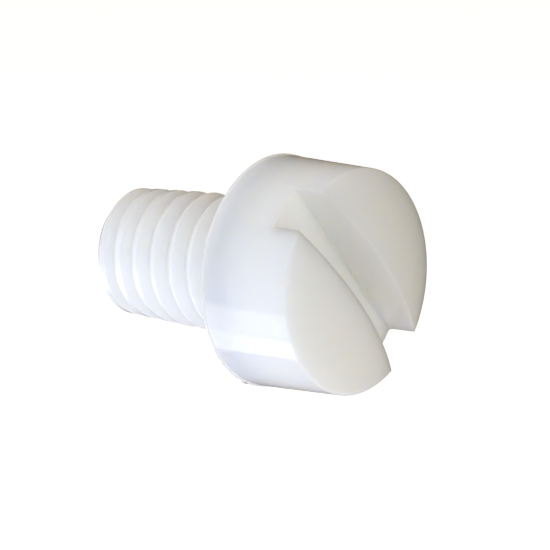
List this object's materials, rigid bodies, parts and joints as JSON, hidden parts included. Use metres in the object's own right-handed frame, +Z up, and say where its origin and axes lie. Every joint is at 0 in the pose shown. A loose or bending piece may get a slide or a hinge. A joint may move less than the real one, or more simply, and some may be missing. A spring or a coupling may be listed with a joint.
{
  "type": "thru hull fitting",
  "caption": "Slotted threaded plug in translucent nylon with a thick domed head and a rubber seal ring under it, screwed through a hull from outside to close the hole.",
  "frame": {"origin": "centre of the head's seating face, on the fitting's axis", "axes": "+Y along the shank, into the hull; the domed face looks along -Y; +Z up"},
  "size_m": [0.016, 0.0209, 0.016],
  "materials": {
    "nylon": "natural milky-white nylon, satin, translucent",
    "seal_rubber": "satin black nitrile rubber"
  },
  "bodies": {
    "root": {"fitting_body": "nylon", "seal_ring": "seal_rubber"}
  },
  "joints": []
}
